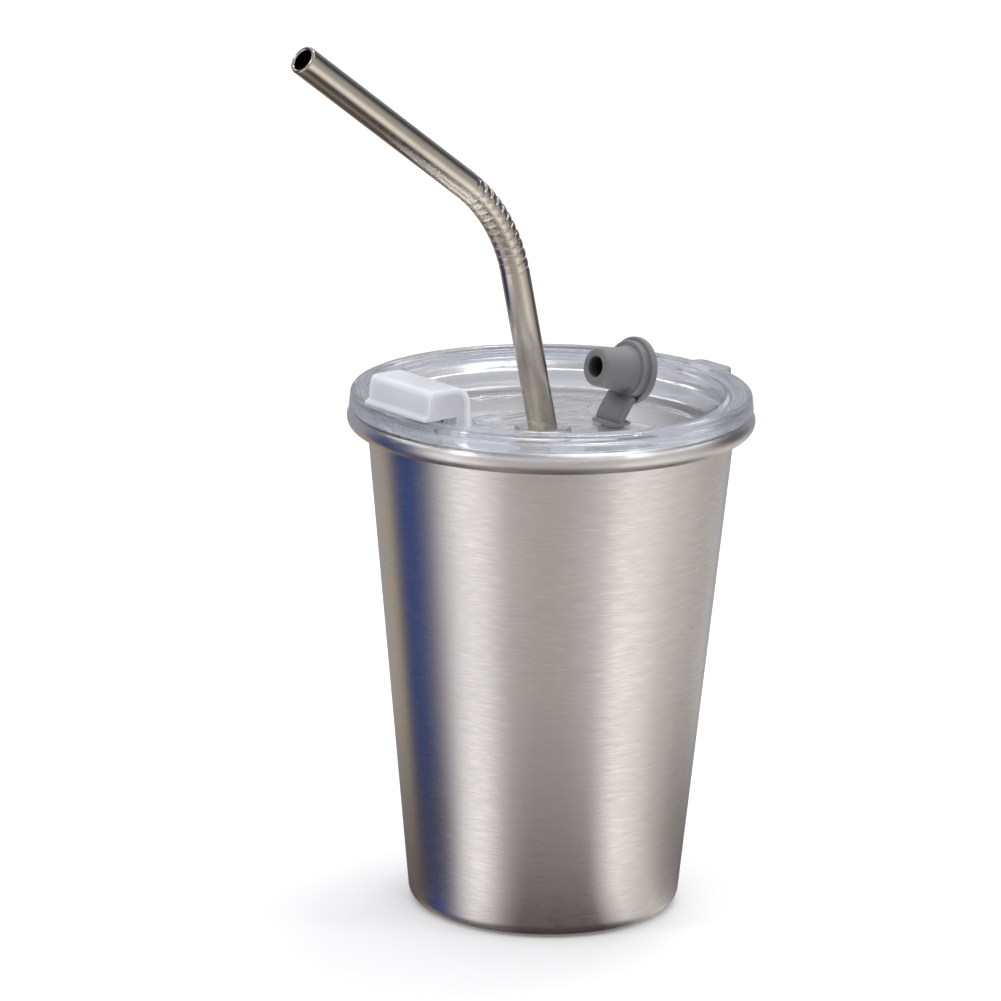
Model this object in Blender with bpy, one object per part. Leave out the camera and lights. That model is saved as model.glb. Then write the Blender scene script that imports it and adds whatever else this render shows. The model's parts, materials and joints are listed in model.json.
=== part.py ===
"""Steel sippy cup: clear press-on lid, hooded spout, bent steel straw and a silicone straw-hole plug.

Frame: origin at the centre of the cup's flat underside, +Z up, +X towards the lid's lift tab.
The spout hood is on the -X side, and both hinge axes run along Y.
"""

import math

import bmesh
import bpy
from mathutils import Matrix, Vector

MM = 0.001
GAP = 0.3  # clearance between touching pieces, mm
ROUND = 60  # sides of the cup and lid

# Cup: one steel sheet, mm
SHEET = 0.5
FOOT_RADIUS = 30.0  # the cone's outer radius carried down to the table
RIM_HEIGHT = 110.8  # centre of the rolled rim
CURL_RADIUS = 2.4
CURL_RING = 42.6  # radius of the circle that the curl's centre follows
CURL_END_DEG = -125
FOOT_FILLET = 3.2

# Lid: heights above the table, mm
LID_TOP = 117.1
LEDGE_TOP = 116.5
FLOOR_TOP = 106.6
FLOOR_THICK = 1.3
LID_WALL = 1.3
RECESS_TOP_RADIUS = 38.1
RECESS_FOOT_RADIUS = 36.6
FLANGE_RADIUS = 44.1
SKIRT_RADIUS = 44.5
SKIRT_WALL = 0.7
SKIRT_FOOT = 113.2
RIM_INNER = (40.6, 41.3)  # foot and top radii of the raised rim's inner slope
RIM_UNDER = 115.0  # the rim plate's underside
SEAT_RIB = (41.9, 43.0)  # radii of the rib that sits on the cup's rolled rim
PLUG_RADII = (39.5, 39.0, 38.4)  # the lid's plug inside the cup: top, foot and chamfered foot
SEAL_GROOVE = (108.0, 112.3)  # heights of the seal ring's groove
SEAL_BAND = 39.2  # outer radius of the seal ring's flat band
SEAL_LIP = 39.65
TAB_ROOT = 42.0
TAB_REACH = 48.2
TAB_WIDTH = 12.0
TAB_HEIGHTS = (114.7, 116.3)

# Spout and its hood, mm
SPOUT_X = -35.45
SPOUT_SIZE = (4.3, 14.0)
SPOUT_SLOT = (1.8, 9.6)
SPOUT_TOP = 120.2
HOOD_PIVOT = Vector((-32.6, 0, 110.2))
HOOD_WIDTH = 21.0
HOOD_TOP = 123.8
HOOD_WALL = 1.3
HOOD_INNER_END = -31.0
HOOD_LUG_BACK = -34.2
HOOD_LIP = -43.3  # the thumb lip's edge
HOOD_LUG_RADIUS = 1.6
HOOD_WALL_LIFT = 2.0  # from the hinge up to the inner wall's foot, which then swings clear of the spout
HOOD_ROUND = 1.1
TRUNNION_RADIUS = 1.1
EAR_THICK = 1.6
EAR_RADIUS = 2.3
PIN_SIDES = 16

# Straw, mm
STRAW_RADIUS = 3.2
STRAW_BORE = 2.7
STRAW_HOLE_X = -2.3
STRAW_CROSSING = 108.5  # height at which the straw's centreline crosses the hole's centreline
STRAW_TILT = math.radians(13.2)
STRAW_UPPER_TILT = math.radians(54.2)
STRAW_CORNER = 50.3  # from the crossing to the point where the two legs' centrelines meet
STRAW_UPPER = 67.3  # from that point to the mouth end
STRAW_BEND_RADIUS = 36.7
STRAW_SIDES = 20
HOLE_RADIUS = 4.6
BOSS_RADIUS = 6.3
BOSS_TOP = 108.9
BOSS_CHAMFER = 0.5
WELD = 0.5  # depth that a raised shape reaches into the floor it stands on
THROUGH = (100.0, 112.0)  # heights that a cut through the lid's floor spans

# Straw-hole plug, mm
PLUG_PIVOT = Vector((17.2, 0, 108.55))
PLUG_CENTRE = Vector((23.15, 0, 117.9))
PLUG_STEM_RISE = math.radians(12.3)
PLUG_FLANGE = (7.6, -0.9, 0.8)  # the back disc's radius, and its faces along the stem's axis
PLUG_STEP = (6.7, 2.5)  # the front disc's radius and its face
PLUG_FRONT = 11.2  # the stem's end along its axis
PLUG_STEM_RADII = (5.0, 4.3)
PLUG_BORE = (2.35, 7.0)
STRAP_WIDTH = 8.8
STRAP_THICK = 1.4
STRAP_ROUTE = ((18.1, 109.7), (19.1, 110.9), (20.5, 111.9), (22.4, 112.6))  # (x, z) above the knuckle
KNUCKLE_RADIUS = 0.75
ANCHOR_X = 17.2
ANCHOR_STEM_RADIUS = 1.3
ANCHOR_PAD = 5.2
ANCHOR_PAD_TOP = 107.5


def cone_radius(height):
    """The cup's outer radius at a height."""
    top = CURL_RING - CURL_RADIUS + SHEET
    return FOOT_RADIUS + (top - FOOT_RADIUS) * height / RIM_HEIGHT


def arc(centre, radius, start, end, steps):
    """Points of an arc in the (radius, height) plane, with its angles in degrees."""
    angles = [math.radians(start + (end - start) * i / steps) for i in range(steps + 1)]
    return [(centre[0] + radius * math.cos(a), centre[1] + radius * math.sin(a)) for a in angles]


def material(name, colour, roughness, metallic=0.0, transmission=0.0):
    made = bpy.data.materials.new(name)
    made.use_nodes = True
    shader = made.node_tree.nodes["Principled BSDF"]
    shader.inputs["Base Color"].default_value = (*colour, 1)
    shader.inputs["Roughness"].default_value = roughness
    shader.inputs["Metallic"].default_value = metallic
    shader.inputs["Transmission Weight"].default_value = transmission
    made.diffuse_color = (*colour, 1)
    return made


def object_from(mesh_tool, name, finish=None, location=Vector((0, 0, 0))):
    """Turns a bmesh in millimetres into an object, with its origin at the location in millimetres."""
    bmesh.ops.translate(mesh_tool, verts=mesh_tool.verts, vec=-location)
    bmesh.ops.scale(mesh_tool, verts=mesh_tool.verts, vec=(MM, MM, MM))
    bmesh.ops.recalc_face_normals(mesh_tool, faces=mesh_tool.faces)
    mesh = bpy.data.meshes.new(name)
    mesh_tool.to_mesh(mesh)
    mesh_tool.free()
    mesh.shade_smooth()
    mesh.set_sharp_from_angle(angle=math.radians(35))
    made = bpy.data.objects.new(name, mesh)
    made.location = location * MM
    bpy.context.collection.objects.link(made)
    if finish:
        mesh.materials.append(finish)
    return made


def turned(outline, segments, x=0.0):
    """A bmesh of the closed (radius, height) outline turned about the vertical line through x."""
    tool = bmesh.new()
    rings = []
    for radius, height in outline:
        if radius < 1e-6:
            rings.append([tool.verts.new((x, 0, height))])
            continue
        turns = [2 * math.pi * i / segments for i in range(segments)]
        circle = [(x + radius * math.cos(a), radius * math.sin(a), height) for a in turns]
        rings.append([tool.verts.new(point) for point in circle])
    for here, there in zip(rings, rings[1:] + rings[:1]):
        if len(here) == 1 and len(there) == 1:
            continue
        for i in range(segments):
            j = (i + 1) % segments
            corners = [here[i % len(here)], here[j % len(here)], there[j % len(there)], there[i % len(there)]]
            tool.faces.new(list(dict.fromkeys(corners)))
    return tool


def prism(outline, low, high, axis="Z"):
    """A bmesh of a closed outline extruded from low to high: (x, y) along Z, or (x, z) along Y."""
    tool = bmesh.new()
    placed = [(a, b, low) if axis == "Z" else (a, low, b) for a, b in outline]
    face = tool.faces.new([tool.verts.new(point) for point in placed])
    grown = bmesh.ops.extrude_face_region(tool, geom=[face])
    step = (0, 0, high - low) if axis == "Z" else (0, high - low, 0)
    moved = [v for v in grown["geom"] if isinstance(v, bmesh.types.BMVert)]
    bmesh.ops.translate(tool, verts=moved, vec=step)
    return tool


def circle_outline(centre, radius):
    """A small round hole or pin as a closed outline."""
    return arc(centre, radius, 0, 360 - 360 / PIN_SIDES, PIN_SIDES - 1)


def rounded_box(width, depth, corner, centre=(0.0, 0.0), steps=4):
    """The outline of a rectangle with round corners, in its own plane."""
    points = []
    for number, (sx, sy) in enumerate([(1, 1), (-1, 1), (-1, -1), (1, -1)]):
        middle = (centre[0] + sx * (width / 2 - corner), centre[1] + sy * (depth / 2 - corner))
        points += arc(middle, corner, 90 * number, 90 * number + 90, steps)
    return points


def combine(target, other, operation):
    """Adds or cuts one object with another by a Boolean modifier, and hides the other as a cutter."""
    step = target.modifiers.new(other.name, "BOOLEAN")
    step.operation = operation
    step.object = other
    other.hide_render = True
    other.display_type = "WIRE"


def cup_outline():
    """The steel sheet's section: flat foot, cone and rolled rim, outside first and back down the inside."""
    slope = math.degrees(math.atan2(cone_radius(RIM_HEIGHT) - FOOT_RADIUS, RIM_HEIGHT))
    centre = (cone_radius(FOOT_FILLET) - FOOT_FILLET / math.cos(math.radians(slope)), FOOT_FILLET)
    curl = (CURL_RING, RIM_HEIGHT)
    return (
        [(0, 0)]
        + arc(centre, FOOT_FILLET, -90, -slope, 4)
        + arc(curl, CURL_RADIUS - SHEET, 180, CURL_END_DEG, 10)
        + arc(curl, CURL_RADIUS, CURL_END_DEG, 180, 11)
        + arc(centre, FOOT_FILLET - SHEET, -slope, -90, 4)
        + [(0, SHEET)]
    )


def make_cup(steel):
    return object_from(turned(cup_outline(), ROUND), "cup_body", steel)


def lid_outline():
    """The lid's section: recessed floor, recess wall, ledge and rim, skirt, seat rib and seal groove."""
    fillet = 1.5
    ledge_round = 0.7
    rim_round = 1.2
    rib_slope = 0.2
    seat = RIM_HEIGHT + CURL_RADIUS + GAP
    rib_inner, rib_outer = SEAT_RIB
    groove_radius = RECESS_FOOT_RADIUS + LID_WALL
    floor_under = FLOOR_TOP - FLOOR_THICK
    plug_top, plug_foot, plug_chamfer = PLUG_RADII
    return (
        [(0, FLOOR_TOP)]
        + arc((RECESS_FOOT_RADIUS - fillet, FLOOR_TOP + fillet), fillet, -90, 0, 3)
        + arc((RECESS_TOP_RADIUS + ledge_round, LEDGE_TOP - ledge_round), ledge_round, 180, 90, 3)
        + [(RIM_INNER[0], LEDGE_TOP), (RIM_INNER[1], LID_TOP)]
        + arc((FLANGE_RADIUS - rim_round, LID_TOP - rim_round), rim_round, 90, 0, 4)
        + [(SKIRT_RADIUS, SKIRT_FOOT), (SKIRT_RADIUS - SKIRT_WALL, SKIRT_FOOT)]
        + [(rib_outer + rib_slope, RIM_UNDER), (rib_outer, RIM_UNDER), (rib_outer - rib_slope, seat)]
        + [(rib_inner + rib_slope, seat), (rib_inner, RIM_UNDER), (plug_top, RIM_UNDER)]
        + [(plug_top, SEAL_GROOVE[1]), (groove_radius, SEAL_GROOVE[1]), (groove_radius, SEAL_GROOVE[0])]
        + [(plug_foot + rib_slope, SEAL_GROOVE[0]), (plug_foot, floor_under + 0.6)]
        + [(plug_chamfer, floor_under), (0, floor_under)]
    )


def make_lid(clear):
    """The turned lid with its lift tab, spout, straw boss and hinge ears joined on, then its holes cut."""
    lid = object_from(turned(lid_outline(), ROUND), "lid", clear)
    tab = rounded_box(TAB_REACH - TAB_ROOT, TAB_WIDTH, 2.5, ((TAB_REACH + TAB_ROOT) / 2, 0))
    spout = rounded_box(*SPOUT_SIZE, 2.1, (SPOUT_X, 0))
    slot = rounded_box(*SPOUT_SLOT, 0.85, (SPOUT_X, 0))
    boss = [(0, FLOOR_TOP - WELD), (BOSS_RADIUS, FLOOR_TOP - WELD), (BOSS_RADIUS, BOSS_TOP - BOSS_CHAMFER)]
    boss += [(BOSS_RADIUS - BOSS_CHAMFER, BOSS_TOP), (0, BOSS_TOP)]
    combine(lid, object_from(prism(tab, *TAB_HEIGHTS), "tab_shape"), "UNION")
    combine(lid, object_from(prism(spout, FLOOR_TOP - WELD, SPOUT_TOP), "spout_shape"), "UNION")
    combine(lid, object_from(turned(boss, 40, STRAW_HOLE_X), "boss_shape"), "UNION")
    for side, sign in (("left", 1), ("right", -1)):
        combine(lid, make_ear(side, sign), "UNION")
    low, high = THROUGH
    hole = [(0, low), (HOLE_RADIUS, low), (HOLE_RADIUS, high), (0, high)]
    combine(lid, object_from(turned(hole, 36, STRAW_HOLE_X), "straw_hole_cut"), "DIFFERENCE")
    combine(lid, object_from(prism(slot, low, SPOUT_TOP + 5), "spout_slot_cut"), "DIFFERENCE")
    anchor_hole = ANCHOR_STEM_RADIUS + GAP
    anchor = [(0, low), (anchor_hole, low), (anchor_hole, high), (0, high)]
    combine(lid, object_from(turned(anchor, 16, ANCHOR_X), "anchor_hole_cut"), "DIFFERENCE")
    return lid


def make_ear(side, sign):
    """One hinge ear: an upright lug on the lid's floor with the trunnion's bearing hole through it."""
    inner = HOOD_WIDTH / 2 + GAP
    low, high = sorted((sign * inner, sign * (inner + EAR_THICK)))
    centre = (HOOD_PIVOT.x, HOOD_PIVOT.z)
    lug = [(centre[0] - EAR_RADIUS, FLOOR_TOP - WELD)] + arc(centre, EAR_RADIUS, 180, 0, 8)
    lug += [(centre[0] + EAR_RADIUS, FLOOR_TOP - WELD)]
    ear = object_from(prism(lug, low, high, "Y"), "ear_" + side)
    bearing = circle_outline(centre, TRUNNION_RADIUS + GAP)
    combine(ear, object_from(prism(bearing, low - 1, high + 1, "Y"), "bearing_cut_" + side), "DIFFERENCE")
    return ear


def make_seal_ring(silicone):
    """The gasket in the lid's groove: a flat band with two lips that wipe the cup's wall."""
    inner = RECESS_FOOT_RADIUS + LID_WALL + GAP
    low, high = SEAL_GROOVE[0] + GAP, SEAL_GROOVE[1] - GAP
    lip = 0.5
    section = [(inner, low), (SEAL_BAND, low), (SEAL_LIP - 0.1, low + lip), (SEAL_BAND, low + 2.2 * lip)]
    section += [(SEAL_BAND, high - 2.2 * lip), (SEAL_LIP, high - lip), (SEAL_BAND, high), (inner, high)]
    return object_from(turned(section, ROUND), "lid_seal_ring", silicone)


def hood_section():
    """The hood's outer side view as (x, z): thumb lip, slanted end, top, round inner end and hinge lugs."""
    rest = LID_TOP + GAP
    end_round = 1.6
    inner_round = 3.6
    return (
        [(HOOD_LUG_BACK, rest), (HOOD_LIP, rest), (HOOD_LIP, rest + 0.7), (HOOD_LIP + 1.0, rest + 1.3)]
        + arc((HOOD_LIP + 3.1, HOOD_TOP - end_round), end_round, 170, 90, 4)
        + arc((HOOD_INNER_END - inner_round, HOOD_TOP - inner_round), inner_round, 90, 0, 5)
        + arc((HOOD_PIVOT.x, HOOD_PIVOT.z), HOOD_LUG_RADIUS, 0, -180, 6)
    )


def hood_cavity():
    """The hollow under the hood's roof as (x, z). Below the wall's foot only the two cheeks stay."""
    back = HOOD_INNER_END - HOOD_WALL
    front = HOOD_LIP + 2.1
    roof = HOOD_TOP - HOOD_WALL
    low = HOOD_PIVOT.z - 6
    wall_foot = HOOD_PIVOT.z + HOOD_WALL_LIFT
    clear = HOOD_INNER_END + 2
    corner = 1.3
    round_corner = arc((back - corner, roof - corner), corner, 0, 90, 3)
    below = [(front, low), (clear, low), (clear, wall_foot), (back, wall_foot)]
    return below + round_corner + [(front + 1.0, roof), (front + 0.2, roof - 1.2)]


def make_hood(frosted):
    """The spout's flip-up hood: a hollow shell with a trunnion on each side."""
    half = HOOD_WIDTH / 2
    shell = prism(hood_section(), -half, half, "Y")
    upper = []
    for edge in shell.edges:
        first, second = (v.co for v in edge.verts)
        at_side = abs(first.y - second.y) < 1e-6
        if at_side and min(first.z, second.z) > LID_TOP + 1.5:
            upper.append(edge)
    bmesh.ops.bevel(
        shell, geom=upper, offset=HOOD_ROUND, segments=2, profile=0.5, affect="EDGES", clamp_overlap=True
    )
    hood = object_from(shell, "spout_cap", frosted, HOOD_PIVOT)
    inner = half - HOOD_WALL
    cavity = object_from(prism(hood_cavity(), -inner, inner, "Y"), "hood_cavity_cut")
    combine(hood, cavity, "DIFFERENCE")
    pin = circle_outline((HOOD_PIVOT.x, HOOD_PIVOT.z), TRUNNION_RADIUS)
    pin_root = half - 0.6
    pin_end = half + GAP + EAR_THICK - 0.2
    for side, sign in (("left", 1), ("right", -1)):
        low, high = sorted((sign * pin_root, sign * pin_end))
        combine(hood, object_from(prism(pin, low, high, "Y"), "trunnion_" + side), "UNION")
    return hood


def make_seal_pad(silicone):
    """The soft pad under the hood's roof that closes the spout."""
    pad = rounded_box(SPOUT_SIZE[0] + 1.0, SPOUT_SIZE[1] + 1.6, 2.4, (SPOUT_X - 0.3, 0))
    low, high = SPOUT_TOP + GAP, HOOD_TOP - HOOD_WALL - GAP
    return object_from(prism(pad, low, high), "spout_seal_pad", silicone, HOOD_PIVOT)


def straw_stations():
    """Centreline points and directions in the straw's own XZ plane, with the crossing at the origin, mm."""
    lower = Vector((-math.sin(STRAW_TILT), 0, math.cos(STRAW_TILT)))
    upper = Vector((-math.sin(STRAW_UPPER_TILT), 0, math.cos(STRAW_UPPER_TILT)))
    turn = STRAW_UPPER_TILT - STRAW_TILT
    tangent = STRAW_BEND_RADIUS * math.tan(turn / 2)
    foot_clear = SHEET + GAP + STRAW_RADIUS * math.sin(STRAW_TILT)
    down = (STRAW_CROSSING - foot_clear) / math.cos(STRAW_TILT)
    inward = Vector((-math.cos(STRAW_TILT), 0, -math.sin(STRAW_TILT)))
    centre = lower * (STRAW_CORNER - tangent) + inward * STRAW_BEND_RADIUS
    stations = [(lower * -down, lower)]
    steps = 9
    for i in range(steps + 1):
        tilt = STRAW_TILT + turn * i / steps
        out = Vector((math.cos(tilt), 0, math.sin(tilt)))
        stations.append((centre + out * STRAW_BEND_RADIUS, Vector((-math.sin(tilt), 0, math.cos(tilt)))))
    stations.append((lower * STRAW_CORNER + upper * STRAW_UPPER, upper))
    return stations


def make_straw(steel):
    """A steel tube swept along its bent centreline, open at both ends."""
    tool = bmesh.new()
    side = Vector((0, 1, 0))
    turns = [2 * math.pi * i / STRAW_SIDES for i in range(STRAW_SIDES)]
    outer, inner = [], []
    for point, direction in straw_stations():
        across = side.cross(direction)
        for radius, loops in ((STRAW_RADIUS, outer), (STRAW_BORE, inner)):
            ring = [point + (across * math.cos(a) + side * math.sin(a)) * radius for a in turns]
            loops.append([tool.verts.new(co) for co in ring])
    walls = list(zip(outer, outer[1:])) + list(zip(inner, inner[1:]))
    ends = [(outer[0], inner[0]), (outer[-1], inner[-1])]
    for here, there in walls + ends:
        for i in range(STRAW_SIDES):
            j = (i + 1) % STRAW_SIDES
            tool.faces.new([here[i], here[j], there[j], there[i]])
    straw = object_from(tool, "straw", steel)
    straw.location = Vector((STRAW_HOLE_X, 0, STRAW_CROSSING)) * MM
    return straw


def strap_section():
    """The strap's side view as (x, z): round knuckle at its foot, then up to the back disc."""
    foot = (PLUG_PIVOT.x, PLUG_PIVOT.z)
    route = [Vector(foot)] + [Vector(point) for point in STRAP_ROUTE]
    half = STRAP_THICK / 2
    left, right = [], []
    for i in range(1, len(route)):
        along = (route[min(i + 1, len(route) - 1)] - route[i - 1]).normalized()
        side = Vector((-along.y, along.x)) * half
        left.append(route[i] + side)
        right.append(route[i] - side)
    knuckle = arc(foot, KNUCKLE_RADIUS, 150, 345, 8)
    return knuckle + [tuple(v) for v in right] + [tuple(v) for v in reversed(left)]


def plug_outline():
    """The plug's (radius, height) section: two discs, tapered stem with a round nose, and its bore."""
    base, nose = PLUG_STEM_RADII
    bore, depth = PLUG_BORE
    flange, back, face = PLUG_FLANGE
    step, step_face = PLUG_STEP
    front = PLUG_FRONT
    return [
        (0, back),
        (flange - 0.4, back),
        (flange, back + 0.4),
        (flange, face - 0.2),
        (flange - 0.2, face),
        (step, face + 0.1),
        (step, step_face - 0.3),
        (step - 0.3, step_face),
        (base + 0.5, step_face),
        (base, step_face + 0.6),
        (nose + 0.15, front - 1.6),
        (nose, front - 0.6),
        (nose - 0.6, front),
        (bore + 0.3, front),
        (bore, front - 0.3),
        (bore, front - depth),
        (0, front - depth),
    ]


def make_plug(silicone):
    """The plug: two stepped discs, a tapered hollow stem and the strap, all one moulding."""
    head = turned(plug_outline(), 36)
    tilt = Matrix.Rotation(-(math.pi / 2 - PLUG_STEM_RISE), 4, "Y")
    bmesh.ops.transform(head, matrix=Matrix.Translation(PLUG_CENTRE) @ tilt, verts=head.verts)
    plug = object_from(head, "straw_plug", silicone, PLUG_PIVOT)
    half = STRAP_WIDTH / 2
    combine(plug, object_from(prism(strap_section(), -half, half, "Y"), "strap_shape"), "UNION")
    return plug


def make_anchor(silicone):
    """The plug's anchor: a pad on the lid's floor, a stem through it and a button beneath."""
    under = FLOOR_TOP - FLOOR_THICK - GAP
    button = 1.8
    joint = ANCHOR_PAD_TOP - GAP
    stem = [(0, under - button), (2.9, under - button), (3.1, under - 1.0), (2.6, under)]
    stem += [(ANCHOR_STEM_RADIUS, under), (ANCHOR_STEM_RADIUS, joint), (0, joint)]
    anchor = object_from(turned(stem, 16, ANCHOR_X), "plug_anchor", silicone)
    pad = rounded_box(ANCHOR_PAD, STRAP_WIDTH, 1.2, (ANCHOR_X, 0))
    combine(anchor, object_from(prism(pad, FLOOR_TOP + GAP, ANCHOR_PAD_TOP), "anchor_pad_shape"), "UNION")
    return anchor


def main():
    for old in list(bpy.data.objects):
        bpy.data.objects.remove(old)
    brushed = material("brushed_steel", (0.62, 0.60, 0.57), 0.32, metallic=1.0)
    polished = material("straw_steel", (0.50, 0.46, 0.41), 0.22, metallic=1.0)
    clear = material("clear_plastic", (0.93, 0.94, 0.96), 0.06, transmission=0.9)
    frosted = material("frosted_plastic", (0.72, 0.72, 0.77), 0.35)
    gasket = material("clear_silicone", (0.80, 0.81, 0.83), 0.45)
    grey = material("grey_silicone", (0.13, 0.13, 0.14), 0.50)
    make_cup(brushed)
    make_lid(clear)
    make_seal_ring(gasket)
    make_hood(frosted)
    make_seal_pad(gasket)
    make_straw(polished)
    make_plug(grey)
    make_anchor(grey)


main()
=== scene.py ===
"""Looks of the steel sippy cup: fine meshes, materials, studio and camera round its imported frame.

Sizes are in millimetres and are worked out from the frame's boxes and joints where they can be.
The frame's axes: +Z up from the cup's foot, +X towards the lid's lift tab, spout hood on the -X side.
"""

import json
import math

import bmesh
import bpy
from mathutils import Matrix, Vector


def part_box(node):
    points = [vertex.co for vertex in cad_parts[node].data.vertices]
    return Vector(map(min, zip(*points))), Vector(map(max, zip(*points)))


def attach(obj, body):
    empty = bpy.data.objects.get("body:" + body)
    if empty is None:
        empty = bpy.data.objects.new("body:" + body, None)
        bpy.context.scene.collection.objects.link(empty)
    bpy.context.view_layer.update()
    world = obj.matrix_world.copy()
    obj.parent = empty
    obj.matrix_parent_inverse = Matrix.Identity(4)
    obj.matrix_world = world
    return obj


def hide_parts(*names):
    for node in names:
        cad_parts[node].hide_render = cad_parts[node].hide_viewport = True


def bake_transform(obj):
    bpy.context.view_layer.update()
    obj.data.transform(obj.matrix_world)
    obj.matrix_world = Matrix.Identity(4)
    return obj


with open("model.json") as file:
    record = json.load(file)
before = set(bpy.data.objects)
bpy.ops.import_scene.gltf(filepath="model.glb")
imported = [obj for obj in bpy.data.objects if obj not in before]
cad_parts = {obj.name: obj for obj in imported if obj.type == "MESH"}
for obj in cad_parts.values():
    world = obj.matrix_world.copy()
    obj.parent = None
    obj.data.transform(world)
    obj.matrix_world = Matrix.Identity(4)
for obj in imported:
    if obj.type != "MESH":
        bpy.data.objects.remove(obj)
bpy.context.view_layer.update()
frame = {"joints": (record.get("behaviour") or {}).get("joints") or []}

MM = 0.001
FINE = 240  # sides of the large turned pieces


def box(node):
    """A node's lowest and highest corners, in mm."""
    low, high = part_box(node)
    return low / MM, high / MM


def joint(name):
    return next(j for j in frame["joints"] if j["name"] == name)


# Driving sizes, mm
CUP_HIGH = box("cup_body")[1]
LID_HIGH = box("lid")[1]
HOOD_LOW, HOOD_HIGH = box("spout_cap")
PAD_LOW, PAD_HIGH = box("spout_seal_pad")
RING_LOW, RING_HIGH = box("lid_seal_ring")
ANCHOR_LOW, ANCHOR_HIGH = box("plug_anchor")

GAP = 0.3  # left between pieces that touch in the real cup

SHEET = 0.5
FOOT_RADIUS = 30.0
FOOT_FILLET = 3.2
CURL_RADIUS = 2.4
CURL_RING = CUP_HIGH.x - CURL_RADIUS
RIM_HEIGHT = CUP_HIGH.z - CURL_RADIUS
CURL_END_DEG = -125

LID_TOP = 117.1
LEDGE_TOP = LID_TOP - 0.6
FLOOR_TOP = 106.6
FLOOR_THICK = 1.3
RECESS_TOP_RADIUS = 38.1
RECESS_FOOT_RADIUS = 36.6
LID_WALL = 1.3
GROOVE_LOW, GROOVE_HIGH = 108.0, 112.3
TAB_WIDTH = 12.0
TAB_ROOT_X = 42.0
TAB_LOW, TAB_HIGH = 114.7, 116.3
BOSS_RADIUS = 6.3
BOSS_TOP = 108.9
BOSS_ROUND = 0.5
STRAW_HOLE_RADIUS = 4.6
ANCHOR_HOLE_RADIUS = 1.6
EAR_RADIUS = 2.3
EAR_THICK = 1.6
BEARING_RADIUS = 1.4
TRUNNION_RADIUS = 1.1
RAIL_LENGTH, RAIL_DEPTH = 32.0, 6.0
RAIL_X, RAIL_Y = 8.0, 16.5
CUT_LOW, CUT_HIGH = 100.0, 125.0  # past both faces of the lid's floor and the spout
SKIRT_RADIUS = 44.5
SKIRT_FOOT = CUP_HIGH.z
FLANGE_RADIUS = SKIRT_RADIUS - 0.4

SPOUT_X = -35.45
SPOUT_TOP = PAD_LOW.z - GAP
SPOUT_DEPTH, SPOUT_WIDTH = 4.3, 14.0
SLOT_DEPTH, SLOT_WIDTH = 1.8, 9.6
HOOD_PIVOT = Vector(joint("hood_hinge")["pos_m"]) / MM
HOOD_WIDTH = 21.0
HOOD_TOP = HOOD_HIGH.z
HOOD_WALL = 1.3
HOOD_LIP = HOOD_LOW.x
HOOD_INNER_END = -31.0

STRAW_RADIUS = 3.2
STRAW_BORE = 2.7
STRAW_HOLE_X = -2.3
STRAW_CROSSING = 108.5
STRAW_LOWER = -Vector(joint("straw_pull")["axis"]).normalized()
STRAW_UPPER_TILT = math.radians(54.2)
STRAW_CORNER = 50.3
STRAW_UPPER = 67.3
STRAW_BEND_RADIUS = 36.7
STRAW_LIP = 0.42
RIBS = 12
RIB_DEPTH = 0.42

PLUG_PIVOT = Vector(joint("plug_strap_bend")["pos_m"]) / MM
PLUG_CENTRE = Vector((23.15, 0, 117.9))
PLUG_STEM_RISE = math.radians(12.3)
PLUG_NOSE = 11.2
PLUG_BORE = 2.35
PLUG_DISC = 7.6
STRAP_WIDTH = ANCHOR_HIGH.y - ANCHOR_LOW.y
STRAP_THICK = 1.4
ANCHOR_X = (ANCHOR_LOW.x + ANCHOR_HIGH.x) / 2

# Camera: where it stands round the object, and how far its axis is turned off the object's middle
CAMERA_AZIMUTH = math.radians(-39.0)
CAMERA_ELEVATION = math.radians(16.13)
CAMERA_DISTANCE = 1.2
CAMERA_ROLL = math.radians(0.99)
CAMERA_TARGET = Vector((0, 0, 0.06))
CAMERA_AIM = (-0.00867, 0.02543)  # slopes to the right and up
CAMERA_LENS = 194.1
# The angle, round +Z from +X, at which the camera stands; the studio is laid out from it
CAMERA_BEARING = CAMERA_AZIMUTH - math.pi / 2


# ---------------------------------------------------------------- mesh tools


def arc(centre, radius, start, end, steps):
    """Points of an arc in a plane, with its angles in degrees."""
    angles = [math.radians(start + (end - start) * i / steps) for i in range(steps + 1)]
    return [(centre[0] + radius * math.cos(a), centre[1] + radius * math.sin(a)) for a in angles]


def rounded(corners, steps=4):
    """A closed outline from (x, y, radius) corners, each rounded to its radius by a circular arc."""
    points = []
    count = len(corners)
    for i, (x, y, radius) in enumerate(corners):
        here = Vector((x, y))
        before = (Vector(corners[i - 1][:2]) - here).normalized()
        after = (Vector(corners[(i + 1) % count][:2]) - here).normalized()
        half = before.angle(after) / 2
        if radius <= 0 or half > math.radians(88):
            points.append((x, y))
            continue
        reach = radius / math.tan(half)
        centre = here + (before + after).normalized() * (radius / math.sin(half))
        first = here + before * reach - centre
        last = here + after * reach - centre
        sweep = first.angle_signed(last)
        for k in range(steps + 1):
            turned_by = -sweep * k / steps
            points.append(tuple(centre + Matrix.Rotation(turned_by, 2) @ first))
    return points


def smooth(points, steps):
    """A Catmull-Rom line through the points, with several steps between each two."""
    ends = [points[0]] + list(points) + [points[-1]]
    line = []
    for p0, p1, p2, p3 in zip(ends, ends[1:], ends[2:], ends[3:]):
        a, b, c, d = (Vector(p) for p in (p0, p1, p2, p3))
        for k in range(steps):
            t = k / steps
            curve = (2 * a - 5 * b + 4 * c - d) * t**2 + (3 * b - a - 3 * c + d) * t**3
            line.append(0.5 * (2 * b + (c - a) * t + curve))
    line.append(Vector(points[-1]))
    return [tuple(p) for p in line]


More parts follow.
